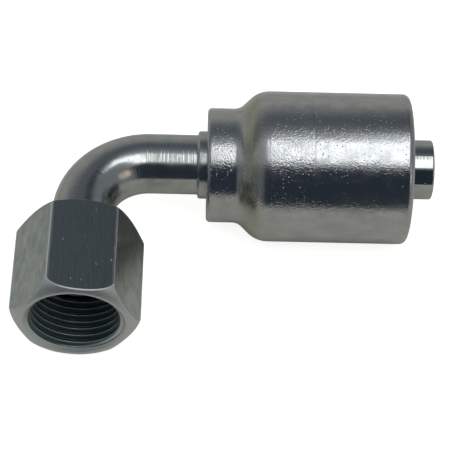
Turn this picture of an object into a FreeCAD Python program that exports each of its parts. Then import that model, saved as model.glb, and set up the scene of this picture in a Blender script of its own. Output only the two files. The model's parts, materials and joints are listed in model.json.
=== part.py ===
import FreeCAD, Part
import math
import os
import re
import Sketcher

# Crimp hose fitting: a 90 degree elbow with a swivel nut, for half-inch hydraulic hose.
# Millimetres. Sketches are drawn from the elbow corner, where the hose axis (x) meets the nut axis (-y).
# Each body is then moved so that the origin is on the hose axis, at the open end of the crimp shell,
# and rolled about the hose axis until the nut rests on the floor beside the shell.

SIZES = {
    # Bent tube of the stem
    "tube_diameter": 12.3,
    "tube_wall": 1.4,
    "bend_radius": 13.35,
    "hose_side_run": 9.7,
    "nut_side_run": 5.03,
    # Stem where the shell is locked to it
    "collar_height": 0.825,
    "collar_width": 1.85,
    "collar_bevel": 0.35,
    "lock_groove_inset": 1.7,
    "lock_groove_width": 3.0,
    "lock_groove_depth": 0.65,
    "stop_width": 2.55,
    # Nipple inside the hose
    "nipple_wall": 1.38,
    "nipple_past_shell": 5.05,
    "nipple_lead": 13.2,
    "nipple_tip_round": 0.6,
    "nipple_mouth_bevel": 0.4,
    "barb_inset": 3.2,
    "barb_pitch": 4.8,
    "barb_groove_width": 3.4,
    "barb_groove_depth": 0.55,
    # Head of the stem, with the flare seat
    "head_length": 6.1,
    "head_shoulder_angle": 45,
    "head_edge_round": 0.35,
    "head_clearance": 0.45,
    "seat_rim": 0.6,
    "seat_half_angle": 37,
    # Crimp shell, outside
    "shell_length": 41.35,
    "shell_diameter": 31.0,
    "neck_length": 6.55,
    "neck_step": 3.73,
    "neck_edge_round": 0.9,
    "shoulder_angle": 44,
    "shoulder_hollow_round": 2.8,
    "shoulder_crown_round": 5.7,
    "mouth_edge_round": 1.35,
    # Crimp shell, inside
    "shell_wall": 3.9,
    "socket_floor_width": 1.6,
    "socket_lead_in": 0.7,
    "tooth_inset": 2.3,
    "tooth_pitch": 4.0,
    "tooth_groove_width": 3.1,
    "tooth_groove_depth": 0.8,
    "tooth_end_land": 0.8,
    "swage_clearance": 0.02,
    # Swivel nut
    "nut_length": 21.88,
    "nut_wall": 1.5875,
    "nut_spin": 7.4,
    "nut_back_bevel": 1.19,
    "nut_back_bevel_width": 1.83,
    "nut_front_bevel": 2.69,
    "nut_front_swell": 0.5,
    "nut_front_rim": 0.45,
    "nut_back_land": 4.55,
    "nut_back_clearance": 0.225,
    "nut_bore_bevel": 0.4,
    "swivel_play": 0.2,
    "thread_major_diameter": 19.05,
    "thread_height": 0.775,
    "thread_relief_inset": 1.2,
    "thread_seat_gap": 0.35,
    "countersink_rim": 0.425,
}

# Radii and places worked out from the sizes. Distances along either axis start at the elbow corner.
TUBE_RADIUS = "tube_diameter / 2"
BORE_RADIUS = f"({TUBE_RADIUS} - tube_wall)"
COLLAR_RADIUS = f"({TUBE_RADIUS} + collar_height)"
LOCK_RADIUS = f"({COLLAR_RADIUS} - lock_groove_depth)"
NIPPLE_RADIUS = f"({BORE_RADIUS} + nipple_wall)"
SHELL_RADIUS = "shell_diameter / 2"
NECK_RADIUS = f"({SHELL_RADIUS} - neck_step)"
SOCKET_RADIUS = f"({SHELL_RADIUS} - shell_wall)"
FLOOR_RADIUS = f"({COLLAR_RADIUS} + socket_floor_width)"
MAJOR_RADIUS = "thread_major_diameter / 2"
MINOR_RADIUS = f"({MAJOR_RADIUS} - thread_height)"
SINK_RADIUS = f"({MAJOR_RADIUS} + countersink_rim)"
HEAD_RADIUS = f"({MINOR_RADIUS} - head_clearance)"
SEAT_RADIUS = f"({HEAD_RADIUS} - seat_rim)"
BACK_BORE_RADIUS = f"({COLLAR_RADIUS} + nut_back_clearance)"
CORNER_RADIUS = f"(({MAJOR_RADIUS} + nut_wall) / cos(30))"
FACE_RADIUS = f"({SINK_RADIUS} + nut_front_rim)"

COLLAR_START = "(bend_radius + hose_side_run)"
SHELL_START = f"({COLLAR_START} + collar_width)"
SHELL_END = f"({SHELL_START} + shell_length)"
NIPPLE_END = f"({SHELL_END} + nipple_past_shell)"
LOCK_START = f"({SHELL_START} + lock_groove_inset)"
LOCK_END = f"({LOCK_START} + lock_groove_width)"
SOCKET_FLOOR = f"({LOCK_END} + stop_width)"
SOCKET_WALL_START = f"({SOCKET_FLOOR} + {SOCKET_RADIUS} - {FLOOR_RADIUS})"
SOCKET_WALL_END = f"({SHELL_END} - socket_lead_in)"

NUT_BACK = "(bend_radius + nut_side_run)"
NUT_FRONT = f"({NUT_BACK} + nut_length)"
NUT_SHOULDER = f"({NUT_BACK} + nut_back_land)"
HEAD_SLOPE = "tan(head_shoulder_angle)"
HEAD_BACK = f"({NUT_SHOULDER} + swivel_play - ({BACK_BORE_RADIUS} - {TUBE_RADIUS}) / {HEAD_SLOPE})"
SEAT_DROP = f"({HEAD_BACK} + head_length)"


def bound(expression):
    # Size names in an expression become cells of the sheet.
    return re.sub(r"[a-z]\w*", lambda word: "Sizes." * (word[0] in SIZES) + word[0], str(expression))


def number(doc, expression):
    value = doc.Sizes.evalExpression(bound(expression))
    return float(getattr(value, "Value", value))


def make_sheet(doc):
    sheet = doc.addObject("Spreadsheet::Sheet", "Sizes")
    for row, (name, size) in enumerate(SIZES.items(), start=1):
        sheet.set(f"A{row}", name)
        sheet.set(f"B{row}", str(size))
        sheet.setAlias(f"B{row}", name)
    doc.recompute()


def make_body(doc, label):
    body = doc.addObject("PartDesign::Body", label)
    body.Label = label
    return body


def make_sketch(body, name, plane="XY_Plane", offset="0"):
    sketch = body.newObject("Sketcher::SketchObject", name)
    support = [item for item in body.Origin.OriginFeatures if item.Role == plane]
    sketch.AttachmentSupport = [(support[0], "")]
    sketch.MapMode = "FlatFace"
    sketch.setExpression("AttachmentOffset.Base.z", bound(offset))
    return sketch


def fix(sketch, kind, expression, *where):
    # One driving dimension of a sketch, bound to the sheet.
    at = sketch.addConstraint(Sketcher.Constraint(kind, *where, number(sketch.Document, expression)))
    sketch.setExpression(f"Constraints[{at}]", bound(expression))


def fix_point(sketch, line, end, across, up):
    for kind, axis, expression in (("DistanceX", -2, across), ("DistanceY", -1, up)):
        if str(expression) == "0":
            sketch.addConstraint(Sketcher.Constraint("PointOnObject", line, end, axis))
        else:
            fix(sketch, kind, expression, -1, 1, line, end)


def draw_outline(sketch, corners):
    # Closed outline of straight edges through corners given as (across, up).
    doc = sketch.Document
    spots = [FreeCAD.Vector(number(doc, across), number(doc, up), 0) for across, up in corners]
    following = spots[1:] + spots[:1]
    for start, end in zip(spots, following):
        sketch.addGeometry(Part.LineSegment(start, end), False)
    for line, (across, up) in enumerate(corners):
        sketch.addConstraint(Sketcher.Constraint("Coincident", line, 2, (line + 1) % len(corners), 1))
        fix_point(sketch, line, 1, across, up)


def draw_round_bevel(sketch, bevel):
    # Outline that cuts a round bevel on an end of a bar. Its arc runs from the rim of the end face, through
    # the bar's corner at this depth, and a little further. It swells past the straight line between them.
    rim, end, corner, depth, swell = bevel
    doc = sketch.Document
    width = f"({corner} - {rim})"
    chord = f"hypot({width}; {depth})"
    radius = f"({chord} ^ 2 / (8 * {swell}) + {swell} / 2)"
    centre_across = f"({rim} + {width} / 2 - ({radius} - {swell}) * {depth} / {chord})"
    centre_depth = f"({depth} / 2 + ({radius} - {swell}) * {width} / {chord})"
    arc_end = FreeCAD.Vector(number(doc, f"{centre_across} + {radius}"), number(doc, f"{centre_depth} - {end}"), 0)
    centre = FreeCAD.Vector(number(doc, centre_across), arc_end.y, 0)
    circle = Part.Circle(centre, FreeCAD.Vector(0, 0, 1), number(doc, radius))
    start_angle = -math.acos((number(doc, rim) - centre.x) / circle.Radius)
    sketch.addGeometry(Part.ArcOfCircle(circle, start_angle, 0), False)
    spots = [
        arc_end,
        FreeCAD.Vector(number(doc, f"2 * {corner}"), arc_end.y, 0),
        FreeCAD.Vector(number(doc, f"2 * {corner}"), -number(doc, end), 0),
        FreeCAD.Vector(number(doc, rim), -number(doc, end), 0),
    ]
    for start, finish in zip(spots, spots[1:]):
        sketch.addGeometry(Part.LineSegment(start, finish), False)
    for line, following in ((0, 1), (1, 2), (2, 3)):
        sketch.addConstraint(Sketcher.Constraint("Coincident", line, 2, following, 1))
    sketch.addConstraint(Sketcher.Constraint("Coincident", 3, 2, 0, 1))
    sketch.addConstraint(Sketcher.Constraint("Horizontal", 1))
    sketch.addConstraint(Sketcher.Constraint("Vertical", 2))
    sketch.addConstraint(Sketcher.Constraint("Horizontal", 3))
    sketch.addConstraint(Sketcher.Constraint("Horizontal", 0, 3, 0, 2))
    fix(sketch, "Radius", radius, 0)
    fix_point(sketch, 0, 3, centre_across, f"{centre_depth} - {end}")
    fix_point(sketch, 3, 1, f"2 * {corner}", f"-({end})")


def draw_circle(sketch, radius):
    centre = FreeCAD.Vector(0, 0, 0)
    normal = FreeCAD.Vector(0, 0, 1)
    sketch.addGeometry(Part.Circle(centre, normal, number(sketch.Document, radius)), False)
    sketch.addConstraint(Sketcher.Constraint("Coincident", 0, 3, -1, 1))
    fix(sketch, "Radius", radius, 0)


def draw_elbow(sketch, hose_end, nut_end):
    # Centreline of the tube: along the hose axis, round the bend, then along the nut axis.
    doc = sketch.Document
    start = number(doc, hose_end)
    bend = number(doc, "bend_radius")
    drop = number(doc, nut_end)
    centre = FreeCAD.Vector(bend, -bend, 0)
    circle = Part.Circle(centre, FreeCAD.Vector(0, 0, 1), bend)
    sketch.addGeometry(Part.LineSegment(FreeCAD.Vector(start, 0, 0), FreeCAD.Vector(bend, 0, 0)), False)
    sketch.addGeometry(Part.ArcOfCircle(circle, math.pi / 2, math.pi), False)
    sketch.addGeometry(Part.LineSegment(FreeCAD.Vector(0, -bend, 0), FreeCAD.Vector(0, -drop, 0)), False)
    sketch.addConstraint(Sketcher.Constraint("Tangent", 0, 2, 1, 1))
    sketch.addConstraint(Sketcher.Constraint("Tangent", 1, 2, 2, 1))
    fix(sketch, "Radius", "bend_radius", 1)
    fix_point(sketch, 0, 1, hose_end, "0")
    fix_point(sketch, 2, 2, "0", f"-({nut_end})")
    sketch.addConstraint(Sketcher.Constraint("Horizontal", 0))


def turn(body, kind, name, axis, outline, draw=draw_outline):
    # A turned form: the outline goes once round the hose axis (H_Axis) or the nut axis (V_Axis).
    sketch = make_sketch(body, name + "Outline")
    draw(sketch, outline)
    feature = body.newObject("PartDesign::" + kind, name)
    feature.Profile = sketch
    feature.ReferenceAxis = (sketch, [axis])
    feature.Angle = 360
    body.Document.recompute()
    return feature


def sweep(body, kind, name, radius, hose_end, nut_end):
    path = make_sketch(body, name + "Path")
    draw_elbow(path, hose_end, nut_end)
    section = make_sketch(body, name + "Section", "YZ_Plane", hose_end)
    draw_circle(section, radius)
    feature = body.newObject("PartDesign::" + kind, name)
    feature.Profile = section
    feature.Spine = (path, [])
    body.Document.recompute()
    return feature


def repeat_along_hose(body, groove, first, last, pitch):
    # As many grooves, a pitch apart, as start between the first place and the last.
    pattern = body.newObject("PartDesign::LinearPattern", groove.Name + "Row")
    pattern.Originals = [groove]
    pattern.Direction = (groove.Profile[0], ["H_Axis"])
    pattern.Mode = "Spacing"
    pattern.setExpression("Offset", bound(pitch))
    pattern.setExpression("Occurrences", bound(f"floor(({last} - {first}) / {pitch}) + 1"))
    body.Tip = pattern
    body.Document.recompute()


def round_edge(body, distance, radius, along):
    # Name of the round edge of this radius that lies at this distance along an axis from the corner.
    doc = body.Document
    place = number(doc, distance)
    size = number(doc, radius)
    for index, edge in enumerate(body.Tip.Shape.Edges, start=1):
        if isinstance(edge.Curve, Part.Circle) and abs(edge.Curve.Radius - size) < 0.001:
            if abs(getattr(edge.Curve.Center, along) - place) < 0.001:
                return f"Edge{index}"
    raise ValueError(f"no round edge of radius {size} at {place}")


def soften(body, kind, name, size, distance, radius, along="x"):
    # Rounds (Fillet) or bevels (Chamfer) one round edge.
    edge = round_edge(body, distance, radius, along)
    base = body.Tip
    feature = body.newObject("PartDesign::" + kind, name)
    feature.Base = (base, [edge])
    feature.setExpression("Radius" if kind == "Fillet" else "Size", bound(size))
    body.Document.recompute()


def check_cut(body, before, name):
    # Stops the build if a cut took nothing away.
    if body.Shape.Volume > before - 0.1:
        raise ValueError(f"{name} cut nothing")
    return body.Shape.Volume


def build_stem(doc):
    stem = make_body(doc, "stem")

    # Collar, lock groove, stop and nipple, turned about the hose axis
    turn(stem, "Revolution", "Tail", "H_Axis", [
        (COLLAR_START, "0"),
        (COLLAR_START, f"{COLLAR_RADIUS} - collar_bevel"),
        (f"{COLLAR_START} + collar_bevel", COLLAR_RADIUS),
        (LOCK_START, COLLAR_RADIUS),
        (LOCK_START, LOCK_RADIUS),
        (LOCK_END, LOCK_RADIUS),
        (LOCK_END, COLLAR_RADIUS),
        (SOCKET_FLOOR, COLLAR_RADIUS),
        (f"{SOCKET_FLOOR} + {COLLAR_RADIUS} - {NIPPLE_RADIUS}", NIPPLE_RADIUS),
        (NIPPLE_END, NIPPLE_RADIUS),
        (NIPPLE_END, "0"),
    ])
    soften(stem, "Fillet", "TipRound", "nipple_tip_round", NIPPLE_END, NIPPLE_RADIUS)

    # Barbs: each groove slopes down towards the tip and ends in a square wall that holds the hose
    before = stem.Shape.Volume
    first = f"({SOCKET_FLOOR} + barb_inset)"
    last = f"({NIPPLE_END} - nipple_lead - barb_groove_width)"
    barb = turn(stem, "Groove", "Barb", "H_Axis", [
        (first, NIPPLE_RADIUS),
        (f"{first} + barb_groove_width", f"{NIPPLE_RADIUS} - barb_groove_depth"),
        (f"{first} + barb_groove_width", NIPPLE_RADIUS),
    ])
    before = check_cut(stem, before, "barb groove")
    repeat_along_hose(stem, barb, first, last, "barb_pitch")
    check_cut(stem, before, "row of barb grooves")

    # Tube bent from inside the collar to inside the head
    sweep(stem, "AdditivePipe", "Tube", TUBE_RADIUS, SHELL_START, f"{SEAT_DROP} - head_length / 2")

    # Head behind the flare seat, with the shoulder that the nut pulls on
    turn(stem, "Revolution", "Head", "V_Axis", [
        ("0", f"-{HEAD_BACK}"),
        (TUBE_RADIUS, f"-{HEAD_BACK}"),
        (HEAD_RADIUS, f"-({HEAD_BACK} + ({HEAD_RADIUS} - {TUBE_RADIUS}) / {HEAD_SLOPE})"),
        (HEAD_RADIUS, f"-{SEAT_DROP}"),
        ("0", f"-{SEAT_DROP}"),
    ])
    soften(stem, "Fillet", "HeadRound", "head_edge_round", f"-{SEAT_DROP}", HEAD_RADIUS, "y")

    # Flow bore, flare seat and the bevelled mouth of the nipple
    before = stem.Shape.Volume
    sweep(stem, "SubtractivePipe", "Bore", BORE_RADIUS, NIPPLE_END, SEAT_DROP)
    before = check_cut(stem, before, "flow bore")
    turn(stem, "Groove", "Seat", "V_Axis", [
        ("0", f"-({SEAT_DROP} - {SEAT_RADIUS} / tan(seat_half_angle))"),
        (SEAT_RADIUS, f"-{SEAT_DROP}"),
        ("0", f"-{SEAT_DROP}"),
    ])
    check_cut(stem, before, "flare seat")
    soften(stem, "Chamfer", "MouthBevel", "nipple_mouth_bevel", NIPPLE_END, BORE_RADIUS)
    return stem


def build_crimp_shell(doc):
    shell = make_body(doc, "crimp_shell")
    shoulder_start = f"({SHELL_START} + neck_length)"
    shoulder_end = f"({shoulder_start} + neck_step / tan(shoulder_angle))"
    lip_start = f"{LOCK_START} + swage_clearance"
    lip_end = f"{LOCK_END} - swage_clearance"
    lip_radius = f"{LOCK_RADIUS} + swage_clearance"
    neck_bore = f"{COLLAR_RADIUS} + swage_clearance"

    # Outside, socket and the lip swaged into the stem's lock groove
    turn(shell, "Revolution", "Wall", "H_Axis", [
        (SHELL_START, neck_bore),
        (SHELL_START, NECK_RADIUS),
        (shoulder_start, NECK_RADIUS),
        (shoulder_end, SHELL_RADIUS),
        (SHELL_END, SHELL_RADIUS),
        (SHELL_END, f"{SOCKET_RADIUS} + socket_lead_in"),
        (SOCKET_WALL_END, SOCKET_RADIUS),
        (SOCKET_WALL_START, SOCKET_RADIUS),
        (SOCKET_FLOOR, FLOOR_RADIUS),
        (SOCKET_FLOOR, neck_bore),
        (lip_end, neck_bore),
        (lip_end, lip_radius),
        (lip_start, lip_radius),
        (lip_start, neck_bore),
    ])

    # Teeth inside: each groove slopes outwards and ends in a square wall that bites the hose cover
    before = shell.Shape.Volume
    first = f"({SOCKET_WALL_START} + tooth_inset)"
    last = f"({SOCKET_WALL_END} - tooth_end_land - tooth_groove_width)"
    groove_end = f"{first} + tooth_groove_width"
    tooth = turn(shell, "Groove", "Tooth", "H_Axis", [
        (first, SOCKET_RADIUS),
        (groove_end, SOCKET_RADIUS),
        (groove_end, f"{SOCKET_RADIUS} + tooth_groove_depth"),
        (f"{groove_end} - tooth_groove_depth", f"{SOCKET_RADIUS} + tooth_groove_depth"),
    ])
    before = check_cut(shell, before, "tooth groove")
    repeat_along_hose(shell, tooth, first, last, "tooth_pitch")
    check_cut(shell, before, "row of tooth grooves")

    # S-shaped shoulder and rounded ends
    soften(shell, "Fillet", "ShoulderHollow", "shoulder_hollow_round", shoulder_start, NECK_RADIUS)
    soften(shell, "Fillet", "ShoulderCrown", "shoulder_crown_round", shoulder_end, SHELL_RADIUS)
    soften(shell, "Fillet", "MouthRound", "mouth_edge_round", SHELL_END, SHELL_RADIUS)
    soften(shell, "Fillet", "NeckRound", "neck_edge_round", SHELL_START, NECK_RADIUS)
    return shell


def build_swivel_nut(doc):
    nut = make_body(doc, "swivel_nut")

    # Hexagon bar, along the nut axis
    hexagon = make_sketch(nut, "Hexagon", "XZ_Plane", NUT_BACK)
    draw_outline(hexagon, [
        (f"{CORNER_RADIUS} * sin({angle})", f"{CORNER_RADIUS} * cos({angle})") for angle in range(30, 360, 60)
    ])
    bar = nut.newObject("PartDesign::Pad", "Bar")
    bar.Profile = hexagon
    bar.setExpression("Length", bound("nut_length"))
    doc.recompute()

    # Bevels turned on both ends, a cone and a round one: they meet the six flats in curves
    before = nut.Shape.Volume
    back_radius = f"{CORNER_RADIUS} - nut_back_bevel_width"
    turn(nut, "Groove", "BackBevel", "V_Axis", [
        (back_radius, f"-{NUT_BACK}"),
        (f"{back_radius} + 2 * nut_back_bevel_width", f"-{NUT_BACK}"),
        (f"{back_radius} + 2 * nut_back_bevel_width", f"-({NUT_BACK} + 2 * nut_back_bevel)"),
    ])
    before = check_cut(nut, before, "back bevel")
    front_bevel = (FACE_RADIUS, NUT_FRONT, CORNER_RADIUS, "nut_front_bevel", "nut_front_swell")
    turn(nut, "Groove", "FrontBevel", "V_Axis", front_bevel, draw_round_bevel)
    before = check_cut(nut, before, "front bevel")

    # Bore: clear of the tube at the back, a shoulder that follows the stem's head, then the thread's
    # relief, its crests and the countersink
    shoulder_end = f"({NUT_SHOULDER} + ({MINOR_RADIUS} - {BACK_BORE_RADIUS}) / {HEAD_SLOPE})"
    relief_start = f"({shoulder_end} + thread_relief_inset)"
    thread_start = f"({SEAT_DROP} + thread_seat_gap)"
    turn(nut, "Groove", "Bore", "V_Axis", [
        ("0", f"-{NUT_BACK}"),
        (f"{BACK_BORE_RADIUS} + nut_bore_bevel", f"-{NUT_BACK}"),
        (BACK_BORE_RADIUS, f"-({NUT_BACK} + nut_bore_bevel)"),
        (BACK_BORE_RADIUS, f"-{NUT_SHOULDER}"),
        (MINOR_RADIUS, f"-{shoulder_end}"),
        (MINOR_RADIUS, f"-{relief_start}"),
        (MAJOR_RADIUS, f"-{relief_start}"),
        (MAJOR_RADIUS, f"-({thread_start} - thread_height)"),
        (MINOR_RADIUS, f"-{thread_start}"),
        (MINOR_RADIUS, f"-({NUT_FRONT} - {SINK_RADIUS} + {MINOR_RADIUS})"),
        (SINK_RADIUS, f"-{NUT_FRONT}"),
        ("0", f"-{NUT_FRONT}"),
    ])
    check_cut(nut, before, "nut bore")
    return nut


def place(body, spin="0"):
    # The nut's lowest point is where its lowest corner meets the front bevel. The roll that brings it
    # down to the floor, as low as the shell's side, follows from its two distances to the hose axis.
    corner_out = f"({NUT_FRONT} - nut_front_bevel)"
    corner_down = f"({CORNER_RADIUS} * cos(30 - nut_spin))"
    reach = f"hypot({corner_out}; {corner_down})"
    roll = f"asin({SHELL_RADIUS} / {reach}) - atan2({corner_down}; {corner_out})"
    start = f"create(<<vector>>; -{SHELL_END}; 0; 0)"
    rolled = f"create(<<rotation>>; create(<<vector>>; 1; 0; 0); {roll})"
    spun = f"create(<<rotation>>; create(<<vector>>; 0; 1; 0); {spin})"
    body.setExpression("Placement", bound(f"create(<<placement>>; {start}; {rolled} * {spun})"))


def main():
    doc = FreeCAD.newDocument("HoseFitting")
    make_sheet(doc)
    stem = build_stem(doc)
    shell = build_crimp_shell(doc)
    nut = build_swivel_nut(doc)
    place(stem)
    place(shell)
    place(nut, "nut_spin")
    doc.recompute()

    for item in doc.Objects:
        if {"Invalid", "Error"} & set(item.State):
            raise ValueError(f"{item.Name} failed: {item.State}")
    pieces = [stem, shell, nut]
    for piece in pieces:
        if piece.Shape.isNull() or not piece.Shape.isValid() or len(piece.Shape.Solids) != 1:
            raise ValueError(f"{piece.Label} is not one valid solid")

    os.makedirs("parts", exist_ok=True)
    for piece in pieces:
        piece.Shape.exportStep(f"parts/{piece.Label}.step")


main()
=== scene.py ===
import json
import math
import bpy
import numpy as np
from mathutils import Matrix, Vector


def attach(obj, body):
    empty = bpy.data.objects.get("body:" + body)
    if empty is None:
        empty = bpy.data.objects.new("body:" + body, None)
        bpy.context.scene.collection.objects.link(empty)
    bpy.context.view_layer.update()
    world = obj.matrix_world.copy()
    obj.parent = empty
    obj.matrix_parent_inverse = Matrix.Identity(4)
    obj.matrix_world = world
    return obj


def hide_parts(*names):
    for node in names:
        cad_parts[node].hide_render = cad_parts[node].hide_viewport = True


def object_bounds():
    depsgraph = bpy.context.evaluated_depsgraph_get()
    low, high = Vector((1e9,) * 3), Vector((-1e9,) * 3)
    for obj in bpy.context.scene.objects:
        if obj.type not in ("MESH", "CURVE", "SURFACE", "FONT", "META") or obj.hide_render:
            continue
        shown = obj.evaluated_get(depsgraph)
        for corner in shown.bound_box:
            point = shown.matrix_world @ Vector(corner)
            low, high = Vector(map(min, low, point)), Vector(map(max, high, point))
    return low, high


# Crimp hose fitting: bent steel stem, crimp shell and swivel nut, all zinc plated.
# Sizes are in mm and are turned to metres when a mesh is made.

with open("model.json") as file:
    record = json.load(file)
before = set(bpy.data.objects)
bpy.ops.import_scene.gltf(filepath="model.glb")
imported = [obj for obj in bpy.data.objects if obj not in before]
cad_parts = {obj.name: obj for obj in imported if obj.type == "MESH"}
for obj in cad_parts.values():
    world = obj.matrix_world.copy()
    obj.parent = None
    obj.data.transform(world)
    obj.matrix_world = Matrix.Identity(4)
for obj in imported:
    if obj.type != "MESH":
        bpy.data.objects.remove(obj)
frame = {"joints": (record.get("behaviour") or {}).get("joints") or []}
cadBox = [list(corner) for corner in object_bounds()]
print("frame loaded", cadBox)

mm = 0.001
swivel = frame["joints"][0]
hoseAxis = np.array((1.0, 0.0, 0.0))
nutAxis = np.array(swivel["axis"])
sideAxis = np.cross(hoseAxis, nutAxis)
elbow = np.array((swivel["pos_m"][0] / mm, 0.0, 0.0))  # where the hose axis meets the nut axis
floorHeight = cadBox[0][2]


# Shapes

arcs = {
    "smallRounding": 0.3,  # roundings up to this get steps that are coarser by the next number
    "coarser": 3,
    "straight": 0.01,  # a turn below this, in radians, is no corner
    "sideShare": 0.45,  # the most of a side that one arc takes up
}


def roundCorners(profile, stepAngle=0.0, steps=None):
    # closed profile of (along, radius, rounding): each corner becomes an arc, or stays if its
    # rounding is 0. Every arc has the same steps, or else as many as the step angle needs.
    points = []
    for i, (along, radius, rounding) in enumerate(profile):
        here = np.array((along, radius))
        back = here - np.array(profile[i - 1][:2])
        ahead = np.array(profile[(i + 1) % len(profile)][:2]) - here
        backLength, aheadLength = np.hypot(*back), np.hypot(*ahead)
        back, ahead = back / backLength, ahead / aheadLength
        turn = math.atan2(back[0] * ahead[1] - back[1] * ahead[0], back @ ahead)
        if rounding == 0 or abs(turn) < arcs["straight"]:
            points.append(here)
            continue
        most = arcs["sideShare"] * min(backLength, aheadLength)
        reach = min(rounding * math.tan(abs(turn) / 2), most)
        size = reach / math.tan(abs(turn) / 2)
        side = math.copysign(1, turn) * np.array((-back[1], back[0]))
        start = here - back * reach
        small = rounding <= arcs["smallRounding"]
        widest = stepAngle * arcs["coarser"] if small else stepAngle
        count = steps or max(2, math.ceil(abs(turn) / widest))
        for step in range(count + 1):
            angle = turn * step / count
            swing = np.array(((math.cos(angle), -math.sin(angle)),
                              (math.sin(angle), math.cos(angle))))
            points.append(start + side * size - swing @ (side * size))
    return np.array(points)


def splitLongSteps(points, low, high, longest):
    # more points where the profile runs round the bend
    result = []
    for here, ahead in zip(points, np.roll(points, -1, axis=0)):
        result.append(here)
        crossing = min(here[0], ahead[0]) < high and max(here[0], ahead[0]) > low
        count = math.ceil(np.hypot(*(ahead - here)) / longest) if crossing else 1
        result += [here + (ahead - here) * k / count for k in range(1, count)]
    return np.array(result)


def alongHose(along):
    centre = elbow + along[..., None] * hoseAxis
    return centre, nutAxis, sideAxis


def alongNut(along):
    centre = elbow + along[..., None] * nutAxis
    return centre, hoseAxis, -sideAxis


def makeRings(name, along, radius, angles, station):
    # closed rows of rings: along and radius have a row for each point of the profile
    # and a column for each angle
    along, radius, angles = np.broadcast_arrays(along, radius, angles)
    centre, first, second = station(along)
    cosine, sine = radius * np.cos(angles), radius * np.sin(angles)
    points = centre + cosine[..., None] * first + sine[..., None] * second
    straight = np.stack((along, cosine, sine), axis=-1)

    rows, columns = along.shape
    index = np.arange(rows * columns).reshape(rows, columns)
    right, up = np.roll(index, -1, axis=1), np.roll(index, -1, axis=0)
    faces = np.stack((index, right, np.roll(right, -1, axis=0), up), axis=-1).reshape(-1, 4)
    points = points.reshape(-1, 3) * mm
    corners = points[faces]
    faceNormal = np.cross(corners[:, 2] - corners[:, 0], corners[:, 3] - corners[:, 1])
    if (faceNormal * corners.mean(axis=1)).sum() < 0:
        faces, faceNormal = faces[:, ::-1], -faceNormal

    mesh = bpy.data.meshes.new(name)
    mesh.from_pydata(points.tolist(), [], faces.tolist())
    mesh.polygons.foreach_set("use_smooth", [True] * len(faces))
    # flats stay flat and only the rounded edges turn the light: large faces set the normals
    normals = np.zeros_like(points)
    for k in range(4):
        np.add.at(normals, faces[:, k], faceNormal)
    normals /= np.linalg.norm(normals, axis=1, keepdims=True)
    mesh.normals_split_custom_set_from_vertices(normals.tolist())
    # the point in mm as if the axis were straight, for patterns that follow the bar or the bend
    attribute = mesh.attributes.new("straight", "FLOAT_VECTOR", "POINT")
    attribute.data.foreach_set("vector", straight.reshape(-1).astype(np.float32))
    piece = bpy.data.objects.new(name, mesh)
    bpy.context.scene.collection.objects.link(piece)
    print(name, "has", len(faces), "faces")
    return piece


def evenAngles(count):
    return np.arange(count) * 2 * math.pi / count


# Materials

noiseRoughness = 0.6  # how strongly the finer detail of a noise pattern shows


def linearColour(hexColour):
    channels = [int(hexColour[i:i + 2], 16) / 255 for i in (1, 3, 5)]
    return [c / 12.92 if c <= 0.04045 else ((c + 0.055) / 1.055) ** 2.4 for c in channels] + [1.0]


def addNode(tree, kind, inputs=None, **options):
    # one node with its options; an input is a value, a socket, or a node for its first output
    node = tree.nodes.new("ShaderNode" + kind)
    for option, value in options.items():
        setattr(node, option, value)
    for socket, value in (inputs or {}).items():
        if isinstance(value, bpy.types.Node):
            value = value.outputs[0]
        if isinstance(value, bpy.types.NodeSocket):
            tree.links.new(value, node.inputs[socket])
        else:
            node.inputs[socket].default_value = value
    return node


def startMaterial(name):
    material = bpy.data.materials.new(name)
    material.use_nodes = True
    tree = material.node_tree
    tree.nodes.clear()
    straight = addNode(tree, "Attribute", attribute_name="straight").outputs["Vector"]
    return material, tree, straight


def addPattern(tree, straight, pattern):
    # noise whose grain is so many mm along the axis and across it, spread from 0 to 1
    along, across = pattern["grain"]
    low, high = pattern["range"]
    stretched = addNode(tree, "VectorMath", {0: straight, 1: (1 / along, 1 / across, 1 / across)},
                        operation="MULTIPLY")
    noise = addNode(tree, "TexNoise", {"Vector": stretched, "Scale": 1.0,
                                       "Detail": pattern["detail"], "Roughness": noiseRoughness,
                                       "Distortion": pattern.get("curl", 0.0)})
    return addNode(tree, "MapRange", {"Value": noise, "From Min": low, "From Max": high})


def addDents(tree, straight, height, dents):
    # small dents scattered over a height, one to a cell of so many mm along and across;
    # also gives where they are: 1 in the middle of a dent, 0 between them
    along, across = dents["cell"]
    placed = addNode(tree, "VectorMath", {0: straight, 1: (1 / along, 1 / across, 1 / across)},
                     operation="MULTIPLY")
    cells = addNode(tree, "TexVoronoi", {"Vector": placed, "Scale": 1.0})
    dent = addNode(tree, "MapRange", {"Value": cells, "From Min": dents["size"], "From Max": 0.0},
                   interpolation_type="SMOOTHSTEP")
    chance = addNode(tree, "SeparateXYZ", {0: cells.outputs["Color"]})
    chosen = addNode(tree, "MapRange", {"Value": chance, "From Min": 1 - dents["share"],
                                        "From Max": 1.0})
    where = addNode(tree, "Math", {0: dent, 1: chosen}, operation="MULTIPLY")
    lowered = addNode(tree, "Math", {0: where, 1: -dents["depth"], 2: height},
                      operation="MULTIPLY_ADD")
    return lowered, where


def addBand(tree, value, centre, width, fade):
    # 1 inside a band of a value, such as a place along the axis, fading to 0 beyond it
    offset = addNode(tree, "Math", {0: value, 1: centre}, operation="SUBTRACT")
    away = addNode(tree, "Math", {0: offset}, operation="ABSOLUTE")
    return addNode(tree, "MapRange", {"Value": away, "From Min": width / 2 + fade,
                                      "From Max": width / 2}, interpolation_type="SMOOTHSTEP")


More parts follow.
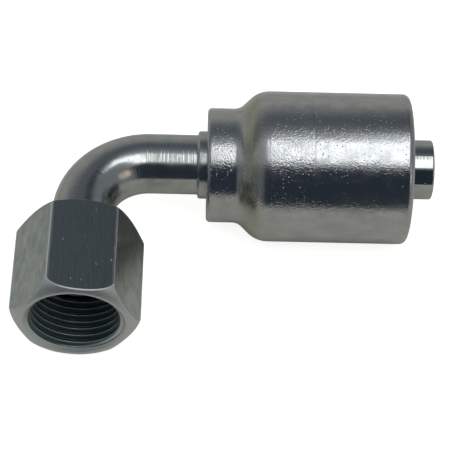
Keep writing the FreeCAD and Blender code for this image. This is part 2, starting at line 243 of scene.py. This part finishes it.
def finishZinc(tree, colour, roughness, height, heightDepth):
    # the height runs from 0 to 1 over so many mm
    bump = addNode(tree, "Bump", {"Height": height, "Distance": heightDepth * mm, "Strength": 1.0})
    shader = addNode(tree, "BsdfPrincipled", {"Base Color": colour, "Metallic": 1.0,
                                              "Roughness": roughness, "Normal": bump})
    addNode(tree, "OutputMaterial", {"Surface": shader})


# Crimp shell, turned about the hose axis

shell = {
    # places along the hose axis count from the elbow's corner, and the inner ones from the start
    "start": 24.9, "length": 41.35, "radius": 15.5,
    "neckRadius": 11.77, "neckLength": 6.55, "neckRound": 0.9,
    "shoulderAngle": 44, "hollowRound": 2.8, "crownRound": 5.7, "mouthRound": 1.35,
    "neckBore": 6.995, "lipRadius": 6.345, "lipStart": 1.72, "lipEnd": 4.68, "lipRound": 0.15,
    "floor": 7.25, "floorRadius": 8.575, "socketRadius": 11.6, "leadIn": 0.7,
    "toothInset": 2.3, "toothPitch": 4.0, "toothWidth": 3.1, "toothDepth": 0.8, "toothLand": 0.8,
    "edgeBreak": 0.15, "columns": 224, "stepAngle": 5,
    "colour": "#B4B5B4", "tint": "#A7ABAC", "hollowTint": "#A2A598", "roughness": (0.14, 0.25),
    "hollowPlace": 33.9, "hollowWidth": 1.2, "hollowFade": 1.8,
    "ringMark": 46.2, "ringWidth": 0.1, "ringFade": 0.3, "ringDepth": 1.0,
    "smoothPlaces": (30.7, 37.0), "smoothWidth": 0.5, "smoothFade": 0.6, "smoothShare": 0.15,
    "calmFade": 1.0, "calmShare": 0.62,
    # the real mottle and nicks are about 0.1 mm, too fine to show, so they are drawn coarser;
    # the cloud is the slow change in the plate's tone and shine
    "mottle": {"grain": (0.38, 0.36), "detail": 1.0, "curl": 0.3, "range": (0.3, 0.7)},
    "cloud": {"grain": (3.0, 2.4), "detail": 3.0, "range": (0.35, 0.65)},
    "knocks": {"cell": (0.75, 0.7), "size": 0.45, "share": 0.6, "depth": 1.1},
    "nicks": {"cell": (0.55, 0.42), "size": 0.34, "share": 0.45, "depth": 3.6},
    # mm for a height of 1; the ring mark's depth and the dents' depths are such heights
    "bumpDepth": 0.018,
}


def tumbledZinc():
    # zinc plate on turned steel, tumbled in a barrel: bright, with a fine mottle, knocks and nicks.
    # The passivation is yellower where it gathered in the shoulder's hollow.
    material, tree, straight = startMaterial("tumbledZinc")
    along = addNode(tree, "SeparateXYZ", {0: straight})
    cloud = addPattern(tree, straight, shell["cloud"])
    hollow = addBand(tree, along, shell["hollowPlace"], shell["hollowWidth"], shell["hollowFade"])
    colour = addNode(tree, "MixRGB", {"Fac": cloud, "Color1": linearColour(shell["colour"]),
                                      "Color2": linearColour(shell["tint"])})
    colour = addNode(tree, "MixRGB", {"Fac": hollow, "Color1": colour,
                                      "Color2": linearColour(shell["hollowTint"])})
    height = addPattern(tree, straight, shell["mottle"])
    for dents in (shell["knocks"], shell["nicks"]):
        height = addDents(tree, straight, height, dents)[0]
    # the wall past the ring mark is knocked less, and the two rounded shoulders hardly at all
    mark, fade = shell["ringMark"], shell["calmFade"]
    calm = addNode(tree, "MapRange", {"Value": along, "From Min": mark - fade,
                                      "From Max": mark + fade, "To Min": 1.0,
                                      "To Max": shell["calmShare"]})
    first, second = [addBand(tree, along, place, shell["smoothWidth"], shell["smoothFade"])
                     for place in shell["smoothPlaces"]]
    rounded = addNode(tree, "Math", {0: first, 1: second}, operation="MAXIMUM")
    smooth = addNode(tree, "MapRange", {"Value": rounded, "To Min": 1.0,
                                        "To Max": shell["smoothShare"]})
    strength = addNode(tree, "Math", {0: calm, 1: smooth}, operation="MULTIPLY")
    height = addNode(tree, "Math", {0: height, 1: strength}, operation="MULTIPLY")
    ring = addBand(tree, along, mark, shell["ringWidth"], shell["ringFade"])
    height = addNode(tree, "Math", {0: ring, 1: -shell["ringDepth"], 2: height},
                     operation="MULTIPLY_ADD")
    smoothest, roughest = shell["roughness"]
    roughness = addNode(tree, "MapRange", {"Value": cloud, "To Min": smoothest, "To Max": roughest})
    finishZinc(tree, colour, roughness, height, shell["bumpDepth"])
    return material


def makeShell():
    start, end = shell["start"], shell["start"] + shell["length"]
    crown = start + shell["neckLength"] + (shell["radius"] - shell["neckRadius"]) / math.tan(
        math.radians(shell["shoulderAngle"]))
    floor = start + shell["floor"]
    wallStart = floor + shell["socketRadius"] - shell["floorRadius"]
    wallEnd = end - shell["leadIn"]
    small = shell["edgeBreak"]
    outside = [
        (start, shell["neckRadius"], shell["neckRound"]),
        (start + shell["neckLength"], shell["neckRadius"], shell["hollowRound"]),
        (crown, shell["radius"], shell["crownRound"]),
        (end, shell["radius"], shell["mouthRound"]),
        (end, shell["socketRadius"] + shell["leadIn"], small),
        (wallEnd, shell["socketRadius"], small),
    ]
    teeth = []
    first = wallStart + shell["toothInset"]
    last = wallEnd - shell["toothLand"] - shell["toothWidth"]
    count = math.floor((last - first) / shell["toothPitch"]) + 1
    for k in reversed(range(count)):
        tooth = first + k * shell["toothPitch"]
        wall = tooth + shell["toothWidth"]
        deep = shell["socketRadius"] + shell["toothDepth"]
        teeth += [(wall, shell["socketRadius"], small), (wall, deep, small),
                  (wall - shell["toothDepth"], deep, small), (tooth, shell["socketRadius"], small)]
    lipStart, lipEnd = start + shell["lipStart"], start + shell["lipEnd"]
    inside = [
        (wallStart, shell["socketRadius"], small),
        (floor, shell["floorRadius"], small),
        (floor, shell["neckBore"], small),
        (lipEnd, shell["neckBore"], shell["lipRound"]),
        (lipEnd, shell["lipRadius"], shell["lipRound"]),
        (lipStart, shell["lipRadius"], shell["lipRound"]),
        (lipStart, shell["neckBore"], shell["lipRound"]),
        (start, shell["neckBore"], small),
    ]
    points = roundCorners(outside + teeth + inside, math.radians(shell["stepAngle"]))
    piece = makeRings("crimpShell", points[:, :1], points[:, 1:], evenAngles(shell["columns"]),
                      alongHose)
    piece.data.materials.append(tumbledZinc())
    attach(piece, "hose_end")
    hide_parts("crimp_shell")


makeShell()


# Stem: nipple, collar, bent tube and the head with its flare seat

stem = {
    # places count from the elbow's corner, along the hose axis or, for the head, the nut's
    "bend": 13.35, "tubeRadius": 6.15, "boreRadius": 4.75,
    "tip": 71.3, "nippleRadius": 6.13, "tipRound": 0.6, "mouthBevel": 0.4,
    "barbStart": 35.35, "barbPitch": 4.8, "barbWidth": 3.4, "barbDepth": 0.55, "barbCount": 5,
    "stopEnd": 32.15, "collarStart": 23.05, "collarRadius": 6.975, "collarBevel": 0.35,
    "lockStart": 26.6, "lockEnd": 29.6, "lockRadius": 6.325,
    "headStart": 22.08, "headEnd": 28.18, "headRadius": 8.3, "headRound": 0.35,
    "seatRadius": 7.7, "seatAngle": 37, "footRound": 0.3, "throatRound": 0.5,
    "edgeBreak": 0.12, "columns": 160, "stepAngle": 9, "bendStep": 0.35,
    "colour": "#B1B2B1", "tint": "#A3A9A8", "roughness": (0.13, 0.24),
    # the turning rings, really about 0.15 mm apart, are drawn coarser so that they show
    "rings": {"grain": (0.36, 9.0), "detail": 0.0, "curl": 0.1, "range": (0.35, 0.65)},
    "cloud": {"grain": (2.5, 2.0), "detail": 3.0, "range": (0.35, 0.65)},
    "knocks": {"cell": (1.1, 0.9), "size": 0.3, "share": 0.25, "depth": 1.2},
    "bumpDepth": 0.018,
    # along the centreline from the bend: the die's mark, where the rings fade into the bend,
    # and where the burnished nipple ends
    "dieMark": 0.8, "dieWidth": 0.05, "dieFade": 0.2,
    "bendFade": (-0.5, 1.5), "bendShare": 0.35,
    "nippleFade": (-20.0, -19.0), "nippleShare": 0.15, "nippleRoughness": 0.45,
}


def alongElbow(reach):
    # reach runs along the centreline, from 0 at the hose side of the bend
    bend = stem["bend"]
    turn = np.clip(reach / bend, 0, math.pi / 2)
    across = bend - bend * np.sin(turn) - np.minimum(reach, 0)
    down = bend - bend * np.cos(turn) + np.maximum(reach - bend * math.pi / 2, 0)
    centre = elbow + across[..., None] * hoseAxis + down[..., None] * nutAxis
    outer = -np.sin(turn)[..., None] * hoseAxis - np.cos(turn)[..., None] * nutAxis
    return centre, outer, sideAxis


def turnedZinc():
    # zinc plate on bar that was turned before it was bent: fine rings round it, drawn smoother
    # by the bend, and the mark of the bending die where the bend starts.
    # The nipple, pushed into the hose, is burnished.
    material, tree, straight = startMaterial("turnedZinc")
    along = addNode(tree, "SeparateXYZ", {0: straight})
    rings = addPattern(tree, straight, stem["rings"])
    cloud = addPattern(tree, straight, stem["cloud"])
    colour = addNode(tree, "MixRGB", {"Fac": cloud, "Color1": linearColour(stem["colour"]),
                                      "Color2": linearColour(stem["tint"])})
    start, end = stem["bendFade"]
    bent = addNode(tree, "MapRange", {"Value": along, "From Min": start, "From Max": end,
                                      "To Min": 1.0, "To Max": stem["bendShare"]})
    start, end = stem["nippleFade"]
    burnished = addNode(tree, "MapRange", {"Value": along, "From Min": start, "From Max": end,
                                           "To Min": stem["nippleShare"], "To Max": 1.0})
    strength = addNode(tree, "Math", {0: bent, 1: burnished}, operation="MINIMUM")
    height = addNode(tree, "Math", {0: rings, 1: strength}, operation="MULTIPLY")
    height, _ = addDents(tree, straight, height, stem["knocks"])
    mark = addBand(tree, along, stem["dieMark"], stem["dieWidth"], stem["dieFade"])
    height = addNode(tree, "Math", {0: height, 1: mark}, operation="ADD")
    smoothest, roughest = stem["roughness"]
    roughness = addNode(tree, "MapRange", {"Value": cloud, "To Min": smoothest, "To Max": roughest})
    shine = addNode(tree, "MapRange", {"Value": along, "From Min": start, "From Max": end,
                                       "To Min": stem["nippleRoughness"], "To Max": 1.0})
    roughness = addNode(tree, "Math", {0: roughness, 1: shine}, operation="MULTIPLY")
    finishZinc(tree, colour, roughness, height, stem["bumpDepth"])
    return material


def makeStem():
    bend = stem["bend"]
    bendEnd = bend * math.pi / 2
    small = stem["edgeBreak"]

    def onHose(place):
        return bend - place

    def onNut(place):
        return bendEnd + place - bend

    profile = [
        (onHose(stem["tip"]), stem["boreRadius"] + stem["mouthBevel"], small),
        (onHose(stem["tip"]), stem["nippleRadius"], stem["tipRound"]),
    ]
    for k in reversed(range(stem["barbCount"])):
        barb = stem["barbStart"] + k * stem["barbPitch"]
        wall = barb + stem["barbWidth"]
        profile += [(onHose(wall), stem["nippleRadius"], small),
                    (onHose(wall), stem["nippleRadius"] - stem["barbDepth"], small),
                    (onHose(barb), stem["nippleRadius"], small)]
    stopSlope = stem["collarRadius"] - stem["nippleRadius"]
    headSlope = stem["headRadius"] - stem["tubeRadius"]
    seatSlope = math.tan(math.radians(stem["seatAngle"]))
    seatDepth = (stem["seatRadius"] - stem["boreRadius"]) / seatSlope
    profile += [
        (onHose(stem["stopEnd"] + stopSlope), stem["nippleRadius"], small),
        (onHose(stem["stopEnd"]), stem["collarRadius"], small),
        (onHose(stem["lockEnd"]), stem["collarRadius"], small),
        (onHose(stem["lockEnd"]), stem["lockRadius"], small),
        (onHose(stem["lockStart"]), stem["lockRadius"], small),
        (onHose(stem["lockStart"]), stem["collarRadius"], small),
        (onHose(stem["collarStart"] + stem["collarBevel"]), stem["collarRadius"], small),
        (onHose(stem["collarStart"]), stem["collarRadius"] - stem["collarBevel"], small),
        (onHose(stem["collarStart"]), stem["tubeRadius"], stem["footRound"]),
        (onNut(stem["headStart"]), stem["tubeRadius"], stem["footRound"]),
        (onNut(stem["headStart"] + headSlope), stem["headRadius"], stem["headRound"]),
        (onNut(stem["headEnd"]), stem["headRadius"], stem["headRound"]),
        (onNut(stem["headEnd"]), stem["seatRadius"], small),
        (onNut(stem["headEnd"] - seatDepth), stem["boreRadius"], stem["throatRound"]),
        (onHose(stem["tip"] - stem["mouthBevel"]), stem["boreRadius"], small),
    ]
    points = roundCorners(profile, math.radians(stem["stepAngle"]))
    points = splitLongSteps(points, 0, bendEnd, stem["bendStep"])
    piece = makeRings("bentStem", points[:, :1], points[:, 1:], evenAngles(stem["columns"]),
                      alongElbow)
    piece.data.materials.append(turnedZinc())
    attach(piece, "hose_end")
    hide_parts("stem")


makeStem()


# Swivel nut: hexagon bar with turned bevels and a 3/4-16 thread

nut = {
    # places count from the elbow's corner along the nut's axis, and spin is in degrees
    "back": 18.38, "length": 21.88, "apothem": 11.1125, "cornerRound": 0.3, "spin": 7.4,
    "backBevel": 1.19, "backRadius": 11.0015, "backEdgeRound": 0.12, "backRimRound": 0.08,
    "frontBevel": 2.69, "frontRadius": 10.4, "frontSwell": 0.5, "frontSteps": 14,
    "frontEdgeRound": 0.5, "frontEdgeSteps": 8, "frontRimRound": 0.1, "edgeBreak": 0.15,
    "sinkRadius": 9.95, "majorRadius": 9.525, "minorRadius": 8.75,
    "backBore": 7.2, "boreBevel": 0.4, "backLand": 4.55, "reliefStart": 25.68, "threadStart": 28.53,
    "pitch": 1.5875, "crestShare": 0.25, "rootShare": 0.125, "threadStep": 0.08,
    "flatSteps": 30, "cornerSteps": 6, "roundSteps": 6,
    "colour": "#B4BAB8", "tint": "#929E9E", "scratchColour": "#8B9696", "wornColour": "#D8DCDA",
    # the bore's colour is painted shade for the thread inside the bore
    "boreShadeColour": "#5A6F70", "turnedColour": "#C6CBC9",
    "roughness": (0.15, 0.26), "turnedRoughness": 0.5, "turnedFacing": (0.1, 0.35),
    # the scratches, really hair-fine, are drawn wide enough to show
    "scratches": {"grain": (5.0, 0.26), "detail": 3.0, "range": (0.35, 0.65)}, "scratchShare": 0.6,
    "cloud": {"grain": (3.5, 2.4), "detail": 3.0, "range": (0.35, 0.65)},
    "nicks": {"cell": (1.3, 1.0), "size": 0.26, "share": 0.3, "depth": 15.0},
    # the crest and the fade bound the painted shade on the bore's thread
    "bumpDepth": 0.004, "crestOutOfShade": 0.07, "boreShadeFade": 0.05, "sinkFade": 0.1,
    "wornWidth": 0.2, "wornFade": 0.16,
}


def drawnZinc():
    # zinc plate on cold-drawn hexagon bar: satin, with fine scratches along the bar, small nicks
    # and pale worn corners. The bevels, the rim and the countersink were turned, which leaves them
    # paler and duller. Painted shade: inside the bore the thread's flanks and roots are darker, and
    # its crests stay bright.
    material, tree, straight = startMaterial("drawnZinc")
    parts = addNode(tree, "SeparateXYZ", {0: straight}).outputs
    section = addNode(tree, "CombineXYZ", {"X": parts["Y"], "Y": parts["Z"]})
    radius = addNode(tree, "VectorMath", {0: section}, operation="LENGTH").outputs["Value"]
    scratches = addPattern(tree, straight, nut["scratches"])
    cloud = addPattern(tree, straight, nut["cloud"])
    height, nicks = addDents(tree, straight, scratches, nut["nicks"])

    normal = addNode(tree, "NewGeometry").outputs["Normal"]
    facing = addNode(tree, "VectorMath", {0: normal, 1: tuple(nutAxis)},
                     operation="DOT_PRODUCT").outputs["Value"]
    aside, ahead = nut["turnedFacing"]
    turned = addNode(tree, "MapRange", {"Value": facing, "From Min": aside, "From Max": ahead})
    corner = addBand(tree, radius, nut["apothem"] / math.cos(math.pi / 6), nut["wornWidth"],
                     nut["wornFade"])
    worn = addNode(tree, "Math", {0: corner, 1: nicks}, operation="MAXIMUM")
    # painted shade: the thread's flanks and roots past the countersink are darkened, but the crests
    # are not
    crest = nut["minorRadius"] + nut["crestOutOfShade"]
    thread = addBand(tree, radius, (crest + nut["majorRadius"]) / 2, nut["majorRadius"] - crest,
                     nut["boreShadeFade"])
    sinkEnd = nut["back"] + nut["length"] - (nut["sinkRadius"] - nut["minorRadius"])
    inside = addNode(tree, "MapRange", {"Value": parts["X"], "From Min": sinkEnd + nut["sinkFade"],
                                        "From Max": sinkEnd})
    boreShade = addNode(tree, "Math", {0: thread, 1: inside}, operation="MULTIPLY")

    colour = addNode(tree, "MixRGB", {"Fac": cloud, "Color1": linearColour(nut["colour"]),
                                      "Color2": linearColour(nut["tint"])})
    scratched = addNode(tree, "Math", {0: scratches, 1: nut["scratchShare"]}, operation="MULTIPLY")
    # the last of these mixes in the painted shade of the bore
    for share, name in ((scratched, "scratchColour"), (turned, "turnedColour"),
                        (worn, "wornColour"), (boreShade, "boreShadeColour")):
        colour = addNode(tree, "MixRGB", {"Fac": share, "Color1": colour,
                                          "Color2": linearColour(nut[name])})
    smoothest, roughest = nut["roughness"]
    roughness = addNode(tree, "MapRange", {"Value": cloud, "To Min": smoothest, "To Max": roughest})
    roughness = addNode(tree, "MapRange", {"Value": turned, "To Min": roughness,
                                           "To Max": nut["turnedRoughness"]})
    finishZinc(tree, colour, roughness, height, nut["bumpDepth"])
    return material


def hexagonOutline():
    # angle and radius of each point of the hexagon, its six corners rounded
    size = nut["cornerRound"]
    halfFlat = (nut["apothem"] - size) * math.tan(math.pi / 6)
    points = []
    for side in range(6):
        facing = math.radians(90 - nut["spin"] + 60 * side)
        out = np.array((math.cos(facing), math.sin(facing)))
        across = np.array((-out[1], out[0]))
        for k in range(nut["flatSteps"]):
            points.append(out * nut["apothem"] + across * halfFlat * (2 * k / nut["flatSteps"] - 1))
        centre = out * (nut["apothem"] - size) + across * halfFlat
        for k in range(nut["cornerSteps"]):
            angle = facing + math.pi / 3 * k / nut["cornerSteps"]
            points.append(centre + size * np.array((math.cos(angle), math.sin(angle))))
    points = np.array(points)
    return np.arctan2(points[:, 1], points[:, 0]), np.hypot(points[:, 0], points[:, 1])


def threadRadius(angle, along, front):
    # right-hand thread: its crests stand inwards to the minor radius
    share = abs((along / nut["pitch"] - angle / (2 * math.pi)) % 1 - 0.5) * 2
    flank = (share - nut["crestShare"]) / (1 - nut["crestShare"] - nut["rootShare"])
    depth = nut["majorRadius"] - nut["minorRadius"]
    thread = nut["minorRadius"] + depth * min(max(flank, 0), 1)
    sink = nut["sinkRadius"] - (front - along)
    relief = nut["majorRadius"] - max(along - (nut["threadStart"] - depth), 0)
    return max(thread, sink, relief)


def frontBevel(radius, front):
    # rows from the flat, over its rounded edge and the round bevel, to the rim of the front face
    width = nut["apothem"] / math.cos(math.pi / 6) - nut["frontRadius"]
    chord = math.hypot(width, nut["frontBevel"])
    size = chord ** 2 / (8 * nut["frontSwell"]) + nut["frontSwell"] / 2
    inset = (size - nut["frontSwell"]) / chord
    centre = nut["frontRadius"] + width / 2 - inset * nut["frontBevel"]
    depth = nut["frontBevel"] / 2 + inset * width
    edge = nut["frontEdgeRound"]
    edgeCentre = radius - edge
    edgeTurn = math.asin((edgeCentre - centre) / (size - edge))
    edgeDepth = depth - (size - edge) * math.cos(edgeTurn)
    rows = []
    for turn in np.linspace(math.pi / 2, edgeTurn, nut["frontEdgeSteps"]):
        rows.append((front - edgeDepth + edge * math.cos(turn),
                     edgeCentre + edge * math.sin(turn), 0))
    rimTurn = math.asin((nut["frontRadius"] - centre) / size)
    for turn in np.linspace(edgeTurn, rimTurn, nut["frontSteps"])[1:]:
        rows.append((front - depth + size * math.cos(turn), centre + size * math.sin(turn), 0))
    return rows


def makeNut():
    back, front = nut["back"], nut["back"] + nut["length"]
    cornerRadius = nut["apothem"] / math.cos(math.pi / 6)
    backSlope = nut["backBevel"] / (cornerRadius - nut["backRadius"])
    shoulder = back + nut["backLand"]
    shoulderEnd = shoulder + nut["minorRadius"] - nut["backBore"]
    reliefEnd = nut["threadStart"] - (nut["majorRadius"] - nut["minorRadius"])
    small = nut["edgeBreak"]
    threadRows = np.arange(front - small, reliefEnd, -nut["threadStep"])
    angles, outline = hexagonOutline()
    columns = []
    for angle, radius in zip(angles, outline):
        profile = [
            (back, nut["backBore"] + nut["boreBevel"], small),
            (back, nut["backRadius"], nut["backRimRound"]),
            (back + (radius - nut["backRadius"]) * backSlope, radius, nut["backEdgeRound"]),
        ]
        profile += frontBevel(radius, front)
        profile.append((front, nut["sinkRadius"], nut["frontRimRound"]))
        profile += [(along, threadRadius(angle, along, front), 0) for along in threadRows]
        profile += [
            (nut["reliefStart"], nut["majorRadius"], small),
            (nut["reliefStart"], nut["minorRadius"], small),
            (shoulderEnd, nut["minorRadius"], small),
            (shoulder, nut["backBore"], small),
            (back + nut["boreBevel"], nut["backBore"], small),
        ]
        columns.append(roundCorners(profile, steps=nut["roundSteps"]))
    points = np.stack(columns, axis=1)
    piece = makeRings("swivelNut", points[..., 0], points[..., 1], angles, alongNut)
    piece.data.materials.append(drawnZinc())
    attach(piece, "nut")
    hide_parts("swivel_nut")


makeNut()
print("pieces made")


# Floor, studio light and camera

studio = {
    # places in metres, lamps in watts; the glow is what the camera sees of the floor, and the
    # sheen what the metal sees
    "floorFront": -0.071, "floorReach": 6.0, "floorColour": "#E2DFD6",
    "floorGlow": 0.85, "floorGlowColour": "#FFFFFF",
    "floorSheen": 0.02, "floorSheenColour": "#F6F3EA", "backdropColour": "#FFFFFF",
    # light in the room, by the angle in degrees from the front horizon up and over to the back
    "room": [(-180, "#B2B1AC"), (-120, "#B2B1AC"), (-90, "#3A424A"), (42, "#303A46"),
             (51, "#AEB0B5"), (84, "#BCBEC3"), (94, "#9DA1A7"), (104, "#7D828A"),
             (112, "#6F767F"), (122, "#6A7079"), (130, "#747A81"), (138, "#95979A"),
             (152, "#B0B0AD"), (180, "#BAB9B4")],
    # shade on the back wall at the right, in degrees like the room
    "shadePlace": 130, "shadeWidth": 30, "shadeFade": 11.46, "shadeShare": 0.55,
    "shadeColour": "#000000", "shadeSide": (0.05, 0.22),
    "leftColour": "#7C8083", "leftSide": (-0.25, -0.6),
    "rightColour": "#909499", "rightSide": (0.4, 0.62),
    "glint": (0.76, -0.55, 0.35), "glintColour": "#FBEADC", "glintSize": (0.965, 0.99),
    "lamps": [
        {"name": "softbox", "place": (0.08, -0.262, 0.6), "size": (0.22, 0.425), "power": 0.6},
        {"name": "backPanel", "place": (0.165, 0.02, 0.6), "size": (0.19, 0.14), "power": 0.134},
        {"name": "leftStrip", "place": (-0.13, -0.25, 0.6), "size": (0.06, 0.38), "power": 0.14},
    ],
    # a wide lamp that lights the floor and doesn't show in the metal
    "fill": {"name": "fill", "place": (0.0, -0.6, 1.3), "size": (1.6, 1.2), "power": 4.6},
}


def makeFloor():
    reach, front = studio["floorReach"], studio["floorFront"]
    mesh = bpy.data.meshes.new("floor")
    corners = [(-reach, front, floorHeight), (reach, front, floorHeight),
               (reach, reach, floorHeight), (-reach, reach, floorHeight)]
    mesh.from_pydata(corners, [], [(0, 1, 2, 3)])
    floor = bpy.data.objects.new("floor", mesh)
    bpy.context.scene.collection.objects.link(floor)
    # matt white paper sweep: plain and pale, with soft shadows and no shine
    material = bpy.data.materials.new("matPaper")
    material.use_nodes = True
    tree = material.node_tree
    tree.nodes.clear()
    paper = addNode(tree, "BsdfDiffuse", {"Color": linearColour(studio["floorColour"])})
    seen = addNode(tree, "LightPath").outputs["Is Camera Ray"]
    strength = addNode(tree, "MapRange", {"Value": seen, "To Min": studio["floorSheen"],
                                          "To Max": studio["floorGlow"]})
    tone = addNode(tree, "MixRGB", {"Fac": seen, "Color1": linearColour(studio["floorSheenColour"]),
                                    "Color2": linearColour(studio["floorGlowColour"])})
    glow = addNode(tree, "Emission", {"Color": tone, "Strength": strength})
    both = addNode(tree, "AddShader", {0: paper, 1: glow})
    addNode(tree, "OutputMaterial", {"Surface": both})
    mesh.materials.append(material)


def makeWorld():
    # a room that is dark in front, with pale walls behind and the softbox's glow on the ceiling
    world = bpy.data.worlds.new("studioRoom")
    bpy.context.scene.world = world
    world.use_nodes = True
    tree = world.node_tree
    tree.nodes.clear()
    direction = addNode(tree, "TexCoord").outputs["Generated"]
    parts = addNode(tree, "SeparateXYZ", {0: direction}).outputs
    front = addNode(tree, "Math", {0: parts["Y"], 1: -1.0}, operation="MULTIPLY")
    angle = addNode(tree, "Math", {0: parts["Z"], 1: front}, operation="ARCTAN2")
    turn = addNode(tree, "MapRange", {"Value": angle, "From Min": -math.pi, "From Max": math.pi})
    ramp = addNode(tree, "ValToRGB", {"Fac": turn})
    stops = ramp.color_ramp.elements
    while len(stops) < len(studio["room"]):
        stops.new(1.0)
    for stop, (degrees, colour) in zip(stops, studio["room"]):
        stop.position = (degrees + 180) / 360
        stop.color = linearColour(colour)

    # how far a direction lies to one side, for the shade and for the grey walls at both sides
    sides = {}
    for name in ("shade", "left", "right"):
        near, far = studio[name + "Side"]
        sides[name] = addNode(tree, "MapRange", {"Value": parts["X"], "From Min": near,
                                                 "From Max": far})
    band = addBand(tree, angle, *(math.radians(studio[name])
                                  for name in ("shadePlace", "shadeWidth", "shadeFade")))
    shade = addNode(tree, "Math", {0: band, 1: sides["shade"]}, operation="MULTIPLY")
    shade = addNode(tree, "Math", {0: shade, 1: studio["shadeShare"]}, operation="MULTIPLY")
    towards = addNode(tree, "VectorMath", {0: direction, 1: studio["glint"]},
                      operation="DOT_PRODUCT").outputs["Value"]
    start, end = studio["glintSize"]  # a small warm lamp at the right
    glint = addNode(tree, "MapRange", {"Value": towards, "From Min": start, "From Max": end})

    colour = ramp
    tints = [(shade, "shadeColour", "MIX"), (sides["left"], "leftColour", "LIGHTEN"),
             (sides["right"], "rightColour", "MIX"), (glint, "glintColour", "MIX")]
    for share, name, blend in tints:
        colour = addNode(tree, "MixRGB", {"Fac": share, "Color1": colour,
                                          "Color2": linearColour(studio[name])}, blend_type=blend)
    seen = addNode(tree, "LightPath").outputs["Is Camera Ray"]
    room = addNode(tree, "Background", {"Color": colour})
    backdrop = addNode(tree, "Background", {"Color": linearColour(studio["backdropColour"])})
    light = addNode(tree, "MixShader", {0: seen, 1: room, 2: backdrop})
    addNode(tree, "OutputWorld", {"Surface": light})


def makeLamp(name, place, size, power):
    light = bpy.data.lights.new(name, "AREA")
    light.shape = "RECTANGLE"
    light.size, light.size_y = size
    light.energy = power
    lamp = bpy.data.objects.new(name, light)
    lamp.location = place
    bpy.context.scene.collection.objects.link(lamp)
    return lamp


camera = {
    "place": (-42.68, -255.92, 255.16), "azimuth": 1.243, "elevation": 46.86, "roll": 2.16,
    "lens": 139.92, "sensor": 36.0, "clip": (0.01, 50.0),
}


def makeCamera():
    data = bpy.data.cameras.new("camera")
    data.lens, data.sensor_width = camera["lens"], camera["sensor"]
    data.clip_start, data.clip_end = camera["clip"]
    view = bpy.data.objects.new("camera", data)
    turn = Matrix.Rotation(math.radians(-camera["azimuth"]), 4, "Z")
    turn = turn @ Matrix.Rotation(math.radians(90 - camera["elevation"]), 4, "X")
    turn = turn @ Matrix.Rotation(math.radians(camera["roll"]), 4, "Z")
    view.matrix_world = Matrix.Translation(Vector(camera["place"]) * mm) @ turn
    bpy.context.scene.collection.objects.link(view)
    bpy.context.scene.camera = view


makeFloor()
makeWorld()
for lamp in studio["lamps"]:
    makeLamp(**lamp)
makeLamp(**studio["fill"]).visible_glossy = False
makeCamera()
bpy.context.scene.view_settings.view_transform = "Standard"
print("studio made")
